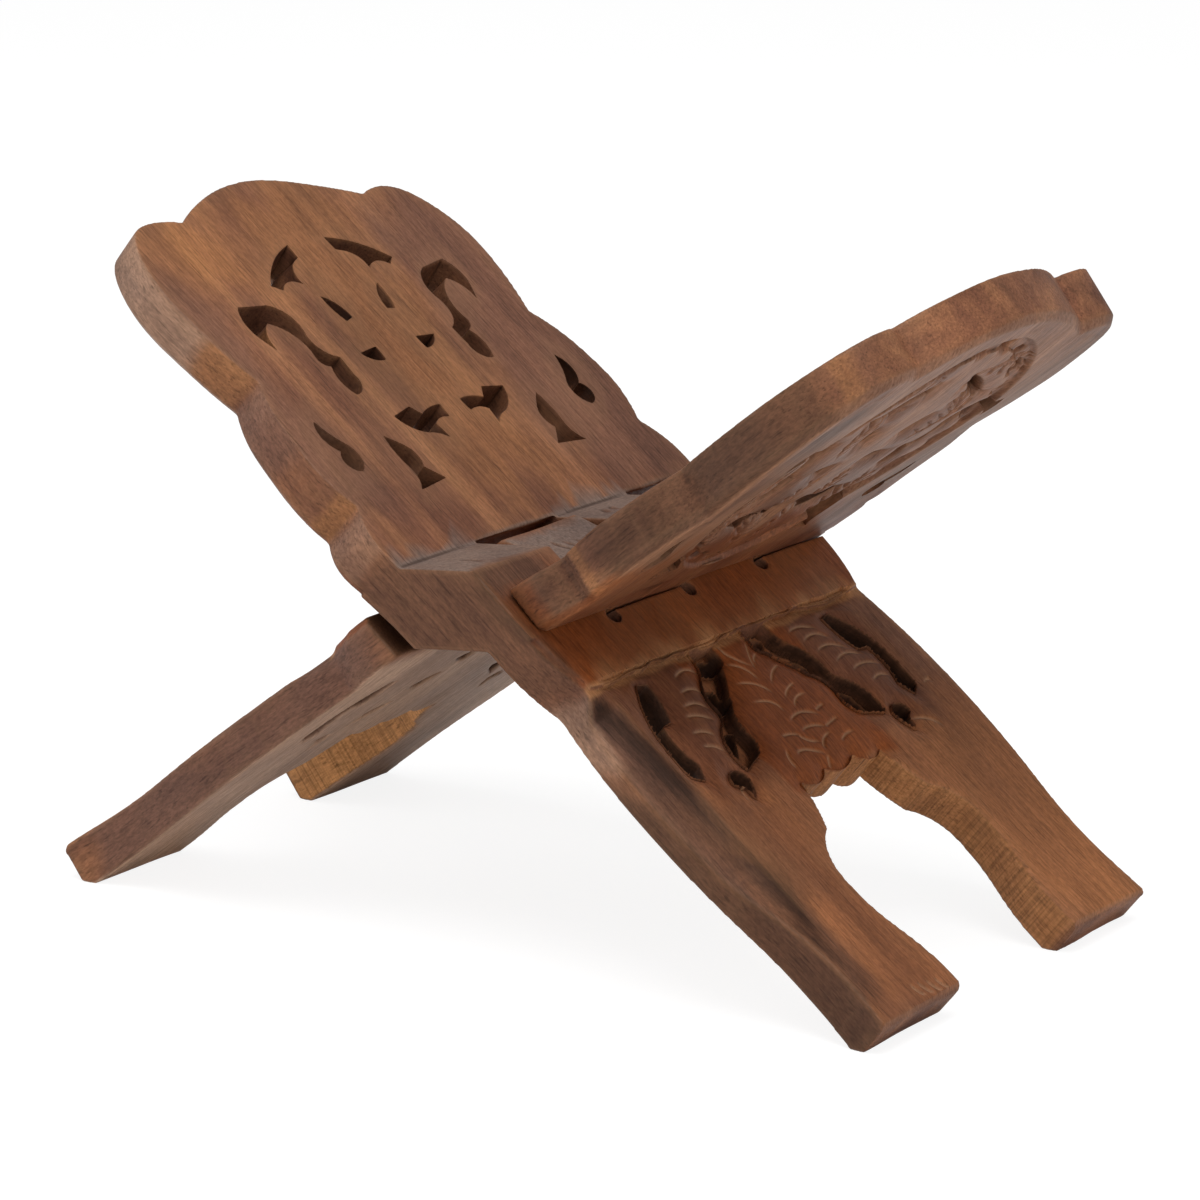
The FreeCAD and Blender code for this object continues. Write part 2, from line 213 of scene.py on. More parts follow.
# Ribs of the leaves in the field behind a panel, through three places (y, a), and their side veins
FIELD_RIBS = [
    [(4.0, 40.0), (10.0, 60.0), (5.0, 80.0)],
    [(22.0, 44.0), (30.0, 58.0), (26.0, 72.0)],
    [(46.0, 52.0), (50.0, 66.0), (44.0, 76.0)],
    [(16.0, 90.0), (22.0, 104.0), (10.0, 116.0)],
    [(52.0, 92.0), (54.0, 108.0), (40.0, 118.0)],
    [(8.0, 124.0), (24.0, 126.0), (36.0, 118.0)],
]
SIDE_VEIN_STEP = 4.0
SIDE_VEIN_LENGTH = 6.0
SIDE_VEIN_START = 0.15
SIDE_VEIN_SPAN = 0.8
SIDE_VEIN_FORWARD = 0.8
SIDE_VEIN_OUTWARD = 0.7
SIDE_VEIN_BOW = 0.12

# The sunk field of the solids, as half widths (a, y), and the carved oval in it with its ring of pockets
FIELD_EDGE = [
    (31.0, 57.5), (52.0, 59.0), (78.0, 54.0), (104.0, 57.5), (118.0, 56.5), (123.0, 54.0),
    (127.0, 51.0), (129.5, 46.0), (131.0, 38.0), (135.0, 28.0), (140.0, 10.0),
]
FIELD_MARGIN = 2.5
FIELD_HEIGHTS = (29.0, 141.0)
FIELD_FACING = 0.2
FIELD_LEAST_DEPTH = 5.0
FIELD_RIM_DEPTH = 12.6
FIELD_RISE = 1.6
FIELD_SLOPE = 2.4
FIELD_MIDDLE = 85.0
FIELD_HALF_WIDTH = 43.0
FIELD_HALF_LENGTH = 53.0
FIELD_BORDER_SHARES = (1.0, 1.03)
FIELD_LOW_SHARE = 0.92
FIELD_LOW_RISE = 0.5
POCKET_COUNT = 22
POCKET_WIDTH = 1.5
POCKET_DEPTH = 4.5
POCKET_HALF_TURNS = (0.05, 0.08)
POCKET_ACROSS_SHARE = 0.93
POCKET_ALONG_SHARE = 0.94

# Neck of the right panel, cut back below its top on the near side
NECK_TOP = 41.0
NECK_TAPER = 0.2
NECK_SIDES = (30.0, 60.0)

# Far edge behind the right panel, left unbevelled
FAR_EDGE_DEPTHS = (-14.0, -11.0)
FAR_EDGE_SIDES = (60.0, 66.0)
FAR_EDGE_HEIGHTS = (16.0, 24.0)

# Near end of the right leaf's step, rubbed down
SHOULDER_ROUNDS = 40
SHOULDER_SHARE = 0.5
SHOULDER_DEPTHS = (6.0, 10.0)
SHOULDER_SIDES = (58.0, 64.0)
SHOULDER_FOOT = (-58.0, -50.0)
SHOULDER_TOP = (-36.0, -32.0)

# Long facet along the left leaf's near leg
LEG_FACET_SIDE = -59.0
LEG_FACET_SLOPE = 0.5
LEG_FACET_DEPTHS = (2.0, 12.0)
LEG_FACET_TOP = (-50.0, -43.0)
LEG_FACET_FOOT = (-140.0, -100.0)

# Hand-carved departures of each leaf: middle, reach and shift, each in n, y and a
THROUGHOUT = 100.0
LEFT_DEPARTURES = [
    ((0.0, -62.0, 131.0), (THROUGHOUT, 15.0, 16.0), (0.0, -1.2, 7.0)),
    ((0.0, -65.0, 117.0), (THROUGHOUT, 12.0, 12.0), (0.0, -1.5, 0.0)),
    ((0.0, 22.0, 143.0), (THROUGHOUT, 24.0, 14.0), (0.0, 0.0, -3.0)),
    ((0.0, -38.0, 136.0), (THROUGHOUT, 14.0, 12.0), (0.0, 0.0, 1.8)),
    ((-15.0, -68.0, 62.0), (9.0, 14.0, 24.0), (0.0, -2.5, 0.0)),
    ((0.0, 68.0, 60.0), (THROUGHOUT, 14.0, 18.0), (0.0, 2.2, 0.0)),
    ((-15.0, -68.0, 32.0), (8.0, 14.0, 15.0), (-2.2, -1.5, 0.0)),
    ((15.0, 0.0, -158.0), (5.0, THROUGHOUT, 20.0), (2.0, 0.0, 0.0)),
]
RIGHT_DEPARTURES = [
    ((0.0, 61.0, 82.0), (THROUGHOUT, 16.0, 14.0), (0.0, 0.0, -3.5)),
    ((0.0, -61.0, 82.0), (THROUGHOUT, 16.0, 14.0), (0.0, 0.0, 3.0)),
    ((0.0, 65.0, 38.0), (THROUGHOUT, 12.0, 10.0), (-0.8, 0.0, -1.5)),
    ((0.0, -65.0, 38.0), (THROUGHOUT, 12.0, 10.0), (-0.8, 0.0, 2.5)),
    ((0.0, 0.0, 146.0), (THROUGHOUT, 70.0, 22.0), (2.4, 0.0, 4.4)),
    ((0.0, -56.0, 132.0), (THROUGHOUT, 20.0, 16.0), (0.0, -1.0, 5.5)),
    ((-15.0, -50.0, 130.0), (8.0, 40.0, 60.0), (-2.8, 0.0, 0.0)),
    ((15.0, 0.0, 0.0), (9.0, THROUGHOUT, 9.0), (2.0, 0.0, 0.8)),
    ((0.0, 0.0, 15.0), (9.0, THROUGHOUT, 7.0), (0.9, 0.0, 1.0)),
    ((15.0, 0.0, -158.0), (5.0, THROUGHOUT, 20.0), (2.7, 0.0, 0.0)),
]

# Tones of the wood, and painted light and shade: facing, then ranges of n, y and a, then tone, strength and
# the width of the soft border
ANYWHERE = (-100.0, 100.0)
EITHER_LEAF_TONES = [
    ("n+", (10, 20), ANYWHERE, (-42, -10), "red", 0.9, 3.0),
    # Chipped fresh wood and a painted highlight along the rim of the step, where its edge catches the light
    ("n+", (9, 20), ANYWHERE, (-43.6, -40.6), "chip_and_highlight", 0.75, 1.6),
    ("n+", (10, 20), (-54, -18), (-84, -42), "umber", 0.5, 4.0),
    ("n+", (10, 20), (18, 54), (-84, -42), "umber", 0.4, 4.0),
    ("n+", (10, 20), (-54, 54), (-84, -42), "red", 0.3, 6.0),
    ("n+", (10, 20), (-26, 26), (-90, -42), "red", 0.85, 3.0),
    ("n+", (5, 11.8), (-60, 60), (-92, -42), "warm", 0.6, 0.8),
    ("n+", (10, 20), ANYWHERE, (-160, -78), "warm", 0.75, 14.0),
    ("n+", (10, 20), (34, 72), (-160, -88), "gold", 0.6, 10.0),
    ("wall", ANYWHERE, (-37, 37), (-156, -86), "gold", 0.9, 2.0),
    ("a-", ANYWHERE, (-30, 30), (-95, -82), "gold", 0.8, 2.0),
    # Painted shade: the walls of the slots between the leaves and of the panel's fret are darkened
    ("wall", ANYWHERE, (-57, 57), (-84, -44), "dark", 1.0, 1.0),
    ("wall", ANYWHERE, (-57.5, 57.5), (24, 128), "dark", 0.5, 1.0),
    # Painted light: the inner faces of the legs are lightened in place of the light that the floor throws up
    ("n-", (0, 8), ANYWHERE, (-160, -25), "painted_pale_light", 0.9, 6.0),
    ("n-", (-20, -14.2), ANYWHERE, (50, 160), "grey", 0.35, 4.0),
    ("n-", (-14.2, -5), ANYWHERE, (50, 160), "grey", 0.25, 4.0),
    ("n-", (-20, -5), ANYWHERE, (14, 52), "red", 0.45, 8.0),
    ("n+", (-3, 14.5), ANYWHERE, (0.5, 18), "ash", 1.0, 1.0),
]
LEFT_TONES = [
    ("n+", (-5, 0), (-26, 22), (22, 150), "gold", 0.5, 20.0),
    ("n+", (-5, 0), (-75, -50), (124, 150), "gold", 0.3, 10.0),
    ("n+", (-5, 0), (-50, -28), (112, 136), "gold", 0.6, 10.0),
    ("n+", (-5, 0), (-75, -53), (34, 119), "purple", 0.7, 12.0),
    ("n+", (-5, 0), (30, 75), (18, 128), "purple", 0.6, 18.0),
    # Painted sheen on the near wall by the panel's upper lobe
    ("y-", ANYWHERE, (-75, -40), (99, 136), "painted_pale_light", 0.5, 6.0),
    ("y-", ANYWHERE, (-75, -40), (83, 99), "gold", 0.5, 4.0),
    ("y-", ANYWHERE, (-75, -40), (60, 81), "purple", 0.75, 5.0),
    ("y-", ANYWHERE, (-75, -40), (37, 44), "gold", 0.6, 3.0),
    ("y-", ANYWHERE, (-75, -40), (23, 36), "grey", 0.35, 4.0),
    ("y-", ANYWHERE, (-75, -40), (-36, 22), "umber", 0.72, 8.0),
    # Painted highlight on the near wall at the top of the leg
    ("y-", ANYWHERE, (-75, -40), (-60, -40), "painted_pale_light", 0.4, 6.0),
    ("y-", ANYWHERE, (-75, -50), (-160, -62), "umber", 0.95, 14.0),
    ("y-", ANYWHERE, (-75, -50), (-160, -66), "dark", 0.4, 14.0),
    ("n+", (10, 20), (-62, -44), (-118, -84), "umber", 0.5, 8.0),
    ("y-", (13, 20), (-75, -40), (-36, 0), "dark", 0.6, 4.0),
    ("n+", (6, 20), (-72, -58), (-150, -60), "umber", 0.9, 5.0),
    ("y-", (9, 20), (-75, -55), (-128, -56), "dark", 0.45, 8.0),
    ("n+", (9, 20), (-75, -45), (-38, 0.5), "umber", 0.9, 3.0),
    ("n+", (9, 20), (-75, -66), (-38, 0.5), "dark", 0.7, 3.0),
    ("y-", (2, 9), (-75, -55), (-150, -70), "warm", 0.35, 8.0),
]
RIGHT_TONES = [
    ("y+", ANYWHERE, (50, 75), (41.5, 45), "gold", 0.5, 1.5),
    # Painted light: a brighter gold on the arch walls of this leaf, in place of the light from the floor
    ("wall", ANYWHERE, (-37, 37), (-156, -86), "painted_lit_gold", 0.9, 2.0),
    ("y+", ANYWHERE, (30, 75), (129, 133), "gold", 0.5, 2.0),
    ("y+", (-11, 0), (40, 75), (84, 110), "dark", 0.45, 8.0),
    ("y+", ANYWHERE, (40, 75), (50, 127), "umber", 1.0, 8.0),
    ("y+", (-12, -3), (40, 75), (44, 70), "dark", 0.5, 10.0),
    ("y+", ANYWHERE, (50, 75), (14, 41), "umber", 0.95, 1.2),
    ("y+", ANYWHERE, (50, 75), (14, 27), "red", 0.6, 5.0),
    ("y+", ANYWHERE, (40, 75), (-150, -25), "purple", 0.95, 10.0),
    # Painted shadow on the end face of the band, in the gap at the hinge
    ("a+", (0, 16), ANYWHERE, (-40, -6), "dark", 0.85, 2.0),
    ("n+", (-5, 0), (-24, 24), (22, 150), "gold", 0.45, 18.0),
]
TONE_RAGGED_WAVES = (24.0, 14.0, 60.0)
TONE_RAGGED_SEEDS = (31, 32, 33)
TONE_RAGGED_SHARE = 0.25
TONE_DEPTH_BORDER = 0.6
DARK_SMOOTHING_ROUNDS = 2

# Colours of those tones and of the painted light and shade, later ones over earlier ones
WOOD_TONES_AND_PAINTED_LIGHT = {
    "gold": (0.37, 0.165, 0.062),
    # Painted light: a brighter gold for walls that the floor lights
    "painted_lit_gold": (0.55, 0.27, 0.1),
    "warm": (0.3, 0.115, 0.043),
    "grey": (0.29, 0.185, 0.13),
    "ash": (0.175, 0.13, 0.11),
    # Painted light: pale sheen and highlight for shaded faces and walls
    "painted_pale_light": (0.46, 0.315, 0.225),
    "purple": (0.15, 0.075, 0.052),
    "umber": (0.108, 0.051, 0.03),
    "red": (0.215, 0.053, 0.01),
    # Dark heartwood, and painted shade on hole walls and on a shadowed end face
    "dark": (0.036, 0.016, 0.009),
    # Chipped wood and a painted highlight on the rim of the step
    "chip_and_highlight": (0.42, 0.21, 0.09),
}

# Dark streaks of heartwood along the left leaf's near leg, each through three places (y, a), then half width
LEFT_STREAKS = [
    ([(-64.0, -43.0), (-62.5, -60.0), (-61.5, -88.0)], 3.0),
    ([(-63.0, -62.0), (-61.5, -96.0), (-62.0, -132.0)], 1.8),
    ([(-65.5, -120.0), (-63.0, -136.0), (-60.5, -150.0)], 1.0),
]
STREAK_LEAST_DEPTH = 3.0
STREAK_WANDER = 0.8
STREAK_STRENGTH = 1.7

# Small dark knots: y, a and radius on the faces of the left leaf
LEFT_KNOTS = [(-58.5, -141.5, 1.3), (2.4, 129.8, 1.6)]
KNOT_STRENGTH = 0.8
KNOT_FACING = 0.5

# Wear of edges and painted shade in hollows, by how far a point stands out of its softened surroundings
WEAR_ROUNDS = 10
WEAR_SHARE = 0.6
WEAR_LIFTS = (0.06, 0.4)
RECESS_SHADE_LIFTS = (0.08, 0.5)
# The painted shade is kept weaker along the rim of the step
STEP_SHADE_DEPTH = 8.0
STEP_SHADE_REACH = 4.0
STEP_SHADE_SHARE = 0.25

# Saw marks on the walls of the arch
SAWN_HEIGHTS = (80.0, 86.0)
SAWN_SIDES = (-40.0, -36.0)

# Noise that the grain is made of: waves per metre along n, y and a, then detail, roughness and distortion
GRAIN = {
    "streaks": ((40.0, 42.0, 3.2), 5.0, 0.6, 1.1),
    "bands": ((120.0, 150.0, 5.5), 3.0, 0.55, 0.8),
    "fibres": ((1100.0, 1300.0, 70.0), 3.0, 0.6, 0.0),
    "specks": ((1700.0, 1700.0, 520.0), 2.0, 0.6, 0.0),
    "pores": ((1700.0, 2100.0, 90.0), 2.0, 0.5, 0.0),
    "blotches": ((45.0, 35.0, 16.0), 3.0, 0.55, 0.0),
    "saw_lines": ((25.0, 1600.0, 1600.0), 2.0, 0.6, 0.0),
}
STREAK_SHARE = 0.8
BAND_SHARE = 0.2
FIGURE_COLOURS = [
    (0.34, (0.1, 0.041, 0.025)), (0.45, (0.165, 0.07, 0.04)),
    (0.54, (0.22, 0.096, 0.05)), (0.66, (0.31, 0.143, 0.069)),
]
TONE_FIGURE = [(0.34, 0.72), (0.6, 1.0)]

# What darkens and lightens that figure: noise, share and the stops of its tint
GRAIN_TINTS = [
    ("blotches", 1.0, [(0.35, (0.78, 0.74, 0.74)), (0.65, (1.15, 1.1, 1.05))]),
    ("fibres", 0.85, [(0.3, 0.74), (0.65, 1.14)]),
    ("specks", 0.85, [(0.36, 0.78), (0.62, 1.14)]),
    ("pores", 0.7, [(0.3, 0.45), (0.42, 1.0)]),
]
SAW_TINT_SHARE = 0.8
SAW_TINT = [(0.36, 0.62), (0.58, 1.1)]

# Painted marks, one of them painted shade: layer, share and colour
MARK_COLOURS = [
    # Painted shade in hollows, creases and the pockets of the field
    ("painted_recess_shade", 0.7, (0.03, 0.012, 0.006)),
    ("torn", 0.8, (0.05, 0.022, 0.012)),
    ("wear", 0.1, (0.4, 0.22, 0.11)),
    ("pale", 0.6, (0.47, 0.27, 0.15)),
]
FIBRE_ROUGHNESS = [(0.3, 0.56), (0.7, 0.42)]
SPECULAR_LEVEL = 0.13
SAW_RIDGES = 2.5
PORE_RELIEF = 0.6
GRAIN_BUMP_STRENGTH = 0.35
GRAIN_BUMP_HEIGHT = 0.15

# Studio, in metres and watts: lamps have a place, an aim, a size and a power
FLOOR_REACH = 6.0
FLOOR_TONE = 0.9
FLOOR_ROUGHNESS = 0.9
FLOOR_GLOW = 1.15
FLOOR_GLOW_SHARE = 0.75
ROOM_STRENGTH = 0.4
LAMPS = {
    "key_light": ((0.3, -0.4, 2.0), (0, 0, 0.1), 1.5, 29.0),
    "right_light": ((1.8, -1.0, 0.6), (0, 0, 0.1), 1.4, 11.0),
    "left_light": ((-1.5, -0.9, 0.5), (0, 0, 0.05), 1.4, 9.0),
}

# Camera, found by fitting the corners of both leaves
CAMERA_AZIMUTH = 34.186
CAMERA_ELEVATION = 14.037
CAMERA_ROLL = 0.118
CAMERA_AIM = (1.85, -1.96, 83.91)
CAMERA_DISTANCE = 1302.13
CAMERA_LENS = 146.93
CAMERA_SENSOR = 36.0


def leaf_placement(mount_name):
    """Where the plank frame of a leaf stands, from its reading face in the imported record."""
    mount = next(m for m in frame["record"]["mounts"] if m["name"] == mount_name)
    through = Vector(mount["axis"]).normalized()
    lean = math.copysign(1, through.x)
    along = Vector((-lean * through.z, 0, lean * through.x))
    turn = Matrix((through, along.cross(through), along)).transposed()
    face = Vector((-HALF_KERF, 0, READING_MOUNT_HEIGHT)) * MM
    return Matrix.Translation(Vector(mount["pos_m"]) - turn @ face) @ turn.to_4x4()


def even_mesh(node, placement):
    """The solid of a leaf in its plank frame, closed and remeshed evenly."""
    rough = bpy.data.objects.new(node + "_rough", frame["nodes"][node].data.copy())
    rough.data.transform(placement.inverted())
    bpy.context.scene.collection.objects.link(rough)
    remesh = rough.modifiers.new("even", "REMESH")
    remesh.mode = "SHARP"
    remesh.octree_depth = MESH_DEPTH
    remesh.scale = MESH_SCALE
    remesh.use_remove_disconnected = False
    graph = bpy.context.evaluated_depsgraph_get()
    mesh = bpy.data.meshes.new_from_object(rough.evaluated_get(graph))
    bpy.data.objects.remove(rough)
    return mesh


def refine(mesh):
    """Halves the mesh on the carved faces: the leaves over the arch and the field behind the panel."""
    work = bmesh.new()
    work.from_mesh(mesh)
    faces = []
    for face in work.faces:
        middle = face.calc_center_median() / MM
        carved = any(
            all(low < value < high for value, (low, high) in zip(middle, ranges)) for ranges in FINE_FACES
        )
        if carved and abs(face.normal.x) > FINE_FACE_FACING:
            faces.append(face)
    edges = list(dict.fromkeys(edge for face in faces for edge in face.edges))
    bmesh.ops.subdivide_edges(work, edges=edges, cuts=1, use_grid_fill=True)
    bmesh.ops.triangulate(work, faces=work.faces)
    work.to_mesh(mesh)
    work.free()


class Skin:
    """The points of a leaf's mesh in millimetres, and how they hang together."""

    def __init__(self, mesh):
        self.mesh = mesh
        self.place = self.read(mesh.vertices, "co", 3, np.float32) / MM
        self.edges = self.read(mesh.edges, "vertices", 2, np.int32)
        self.degree = np.bincount(self.edges.ravel(), minlength=len(self.place))

    @staticmethod
    def read(items, name, width, kind):
        values = np.empty(len(items) * width, kind)
        items.foreach_get(name, values)
        return values.reshape(-1, width).astype(np.float64 if kind is np.float32 else kind)

    def averaged(self, values):
        """Mean of the neighbours of each point."""
        start, end = self.edges.T
        count = len(self.place)
        sums = []
        for column in values.reshape(count, -1).T:
            sums.append(np.bincount(start, column[end], count) + np.bincount(end, column[start], count))
        return (np.stack(sums, -1) / self.degree[:, None]).reshape(values.shape)

    def soften(self, rounds, share):
        for _ in range(rounds):
            self.place += share[:, None] * (self.averaged(self.place) - self.place)

    def normals(self):
        """Directions of the points, after the mesh has taken over their places."""
        self.mesh.vertices.foreach_set("co", (self.place * MM).astype(np.float32).ravel())
        self.mesh.update()
        return self.read(self.mesh.vertices, "normal", 3, np.float32)

    def paint(self, name, values):
        layer = self.mesh.attributes.new(name, "FLOAT", "POINT")
        layer.data.foreach_set("value", np.clip(values, 0, 1).astype(np.float32))


def ease(value, low, high):
    """Smooth rise from 0 at low to 1 at high."""
    share = np.clip((value - low) / (high - low), 0, 1)
    return share * share * (3 - 2 * share)


def fall(value, low, high):
    """Smooth fall from 1 at low to 0 at high."""
    return ease(-value, -high, -low)


def within(value, limits):
    low, high = limits
    return (value > low) & (value < high)


def ripple(place, lengths, seed, waves=9):
    """Smooth seeded unevenness with about the given wave lengths along n, y and a."""
    draw = np.random.default_rng(seed)
    total = np.zeros(len(place))
    for _ in range(waves):
        heading = draw.normal(size=3) * 2 * math.pi / np.array(lengths)
        total += np.sin(place @ heading * WAVE_STRETCH + draw.uniform(0, 2 * math.pi))
    return total / math.sqrt(waves / 2)


def bowed(points, steps=10):
    """A curve through three places."""
    start, middle, end = (np.array(point) for point in points)
    control = 2 * middle - (start + end) / 2
    share = np.linspace(0, 1, steps)[:, None]
    return (1 - share) ** 2 * start + 2 * share * (1 - share) * control + share ** 2 * end


def line_gap(line, flat):
    """Distance from flat places to a line, and the share of the line where the nearest place lies."""
    best = np.full(len(flat), np.inf)
    share = np.zeros(len(flat))
    for index, (start, end) in enumerate(zip(line, line[1:])):
        run = end - start
        part = np.clip((flat - start) @ run / (run @ run), 0, 1)
        gap = np.linalg.norm(flat - start - part[:, None] * run, axis=1)
        nearer = gap < best
        best[nearer] = gap[nearer]
        share[nearer] = (index + part[nearer]) / (len(line) - 1)
    return best, share


def cut_marks(flat, cuts, width):
    """How strongly each flat place lies in one of the cuts, which run out at their ends."""
    mark = np.zeros(len(flat))
    for cut in cuts:
        line = bowed(cut)
        reach = np.ptp(line, axis=0).sum() + CUT_FADE_WIDTHS * width
        near = np.flatnonzero(np.linalg.norm(flat - line.mean(0), axis=1) < reach)
        gap, share = line_gap(line, flat[near])
        strength = np.exp(-(gap / width) ** 2) * ease(np.minimum(share, 1 - share), *CUT_ENDS)
        mark[near] = np.maximum(mark[near], strength)
    return mark


def rim_gap(skin, zone):
    """How far each point of a zone lies from the nearest edge of its face."""
    inside = np.zeros(len(skin.place), bool)
    inside[zone] = True
    crossing = skin.edges[inside[skin.edges[:, 0]] != inside[skin.edges[:, 1]]]
    rim = np.unique(crossing[inside[crossing]])
    tree = KDTree(len(rim))
    for index in rim:
        tree.insert(skin.place[index], index)
    tree.balance()
    return np.array([tree.find(skin.place[index])[2] for index in zone])


def leg_zone(skin, normal):
    """The points on the carved faces of the legs."""
    n, _, a = skin.place.T
    return np.flatnonzero((normal[:, 0] > LEG_FACE_FACING) & (n > LEG_FACE_DEPTH) & (a < LEG_FACE_TOP))


def facet_zone(skin, normal):
    """The points on the upper slanted facets of the knuckles."""
    slanted = (normal[:, 0] > FACET_FACING_N) & (normal[:, 2] > FACET_FACING_A)
    return np.flatnonzero(slanted & within(skin.place[:, 2], FACET_HEIGHTS))


def field_zone(skin, normal):
    """The points in the sunk field behind the panel and on its rim."""
    n, y, a = skin.place.T
    edge = np.interp(a, *np.array(FIELD_EDGE).T) + FIELD_MARGIN
    faces_back = (normal[:, 0] < -FIELD_FACING) & (n < -FIELD_LEAST_DEPTH)
    on_rim = n < -FIELD_RIM_DEPTH
    return np.flatnonzero((faces_back | on_rim) & (np.abs(y) < edge) & within(a, FIELD_HEIGHTS))


def soften_edges(skin):
    """Wears the edges and leaves the rims of the panel's fret crisp."""
    _, y, a = skin.place.T
    low, high = PANEL_FRET
    fret = ease(a, low - 2 * FRET_FADE, low) * fall(a, high, high + FRET_FADE)
    fret *= fall(np.abs(y), FRET_HALF_WIDTH - FRET_FADE, FRET_HALF_WIDTH + FRET_FADE)
    share = OUTER_SOFTENING_SHARE + (FRET_SOFTENING_SHARE - OUTER_SOFTENING_SHARE) * fret
    skin.soften(SOFTENING_ROUNDS, share)


def narrow_fret(skin):
    """Narrows the larger holes of the panel and the legs towards their back."""
    n, y, a = skin.place.T
    side = np.abs(y)
    normal = skin.normals()
    brow = within(a, BROW_HEIGHTS) & (side < BROW_HALF_WIDTH)
    hook = within(a, HOOK_HEIGHTS) & within(side, HOOK_SIDES)
    legs = within(a, LEG_FRET) & (side < FRET_HALF_WIDTH)
    wall = (np.abs(normal[:, 0]) < STEEP_FACING) & (brow | hook | legs)
    in_panel = PANEL_FRET_NARROWING * ease(-n, *PANEL_FRET_LEAN)
    in_legs = LEG_FRET_NARROWING * ease(-n, *LEG_FRET_LEAN)
    move = np.where(wall[:, None], normal, 0) * np.where(legs, in_legs, in_panel)[:, None]
    for _ in range(NARROWING_ROUNDS):
        move = (move + skin.averaged(move)) / 2
    skin.place += move


def taper_neck(skin):
    """Cuts the near wall back where the panel meets the hinge, up to a crisp edge."""
    _, y, a = skin.place.T
    below = np.clip(NECK_TOP - a, 0, None) * (a > 0)
    skin.place[:, 1] -= NECK_TAPER * below * ease(y, *NECK_SIDES)


def square_far_edge(skin):
    """Leaves the far edge behind the panel unbevelled."""
    n, y, a = skin.place.T
    edge = fall(n, *FAR_EDGE_DEPTHS) * ease(-y, *FAR_EDGE_SIDES) * ease(a, *FAR_EDGE_HEIGHTS)
    skin.place[:, 0] -= (n + HALF_THICKNESS) * edge


def wear_shoulder(skin):
    """Rubs the near end of the step down to a soft dip."""
    n, y, a = skin.place.T
    near_end = ease(n, *SHOULDER_DEPTHS) * ease(y, *SHOULDER_SIDES)
    skin.soften(SHOULDER_ROUNDS, SHOULDER_SHARE * near_end * ease(a, *SHOULDER_FOOT) * fall(a, *SHOULDER_TOP))


def slope_near_leg(skin):
    """A long facet along the near edge of the leg, from the step to the foot."""
    n, y, a = skin.place.T
    drop = LEG_FACET_SLOPE * np.clip(LEG_FACET_SIDE - y, 0, None) * ease(n, *LEG_FACET_DEPTHS)
    skin.place[:, 0] -= drop * fall(a, *LEG_FACET_TOP) * ease(a, *LEG_FACET_FOOT)


def work_by_hand(skin, seed):
    """Unevenness on all surfaces, with more of it on the walls."""
    normal = skin.normals()
    wall = 1 - ease(np.abs(normal[:, 0]), *WALL_FACING)
    broad = ripple(skin.place, BROAD_WAVES, seed)
    rasped = ripple(skin.place, RASP_WAVES, seed + 1)
    height = BROAD_HEIGHT * broad + RASP_HEIGHT * wall * rasped
    skin.place += normal * height[:, None]


def carve_legs(skin):
    """Crescents, veins and scales on the leaves over the arch, their rounded edges, and a wavy step."""
    n, y, a = skin.place.T
    along_step = skin.place * (0, 1, 0)
    wander = sum(share * ripple(along_step, (1, length, 1), seed) for length, share, seed in STEP_WAVES)
    step = np.exp(-((a - STEP_HEIGHT) / STEP_REACH) ** 2) * (n > STEP_DEPTH) * (np.abs(y) < STEP_HALF_WIDTH)
    skin.place[:, 2] += STEP_WANDER * step * wander
    zone = leg_zone(skin, skin.normals())
    flat = skin.place[zone][:, 1:]
    deep = cut_marks(flat, LEG_CUTS, CUT_WIDTH)
    fine = cut_marks(flat, MIDDLE_LEAF_VEINS, VEIN_WIDTH)
    on_leaves = ease(flat[:, 1], *LEAVES_FOOT) * ease(-np.abs(flat[:, 0]), *LEAVES_SIDES)
    droop = LEAF_DROOP * np.exp(-rim_gap(skin, zone) / LEAF_SLOPE) * on_leaves
    skin.place[zone, 0] -= CUT_DEPTH * deep + VEIN_DEPTH * fine + droop
    cut = np.zeros(len(skin.place))
    cut[zone] = np.maximum(deep, fine)
    return cut


def field_veins():
    """Ribs on both sides of the field, and side veins that slant off each of them in turn."""
    veins = []
    for rib in FIELD_RIBS:
        line = bowed(rib)
        veins.append(rib)
        length = np.linalg.norm(np.diff(line, axis=0), axis=1).sum()
        heading = line[-1] - line[0]
        heading /= np.linalg.norm(heading)
        outward = np.array([heading[1], -heading[0]])
        shares = np.linspace(0, 1, len(line))
        for index in range(1, int(length / SIDE_VEIN_STEP)):
            share = index * SIDE_VEIN_STEP / length
            foot = np.array([np.interp(share, shares, line[:, axis]) for axis in (0, 1)])
            reach = SIDE_VEIN_LENGTH * math.sin(math.pi * (SIDE_VEIN_START + SIDE_VEIN_SPAN * share))
            for side in (-1, 1):
                tip = foot + reach * (SIDE_VEIN_FORWARD * heading + side * SIDE_VEIN_OUTWARD * outward)
                bend = (foot + tip) / 2 + side * SIDE_VEIN_BOW * reach * outward
                veins.append([tuple(foot), tuple(bend), tuple(tip)])
    mirrored = [[(-y, a) for y, a in vein] for vein in veins]
    return veins + mirrored


def field_pockets():
    """Short deep cuts along the inside of the oval border, every other one longer."""
    across = POCKET_ACROSS_SHARE * FIELD_HALF_WIDTH
    along = POCKET_ALONG_SHARE * FIELD_HALF_LENGTH
    pockets = []
    for index in range(POCKET_COUNT):
        middle = 2 * math.pi * (index + 0.5) / POCKET_COUNT
        turns = [middle + side * POCKET_HALF_TURNS[index % 2] for side in (-1, 0, 1)]
        pockets.append([(across * math.sin(turn), FIELD_MIDDLE + along * math.cos(turn)) for turn in turns])
    return pockets


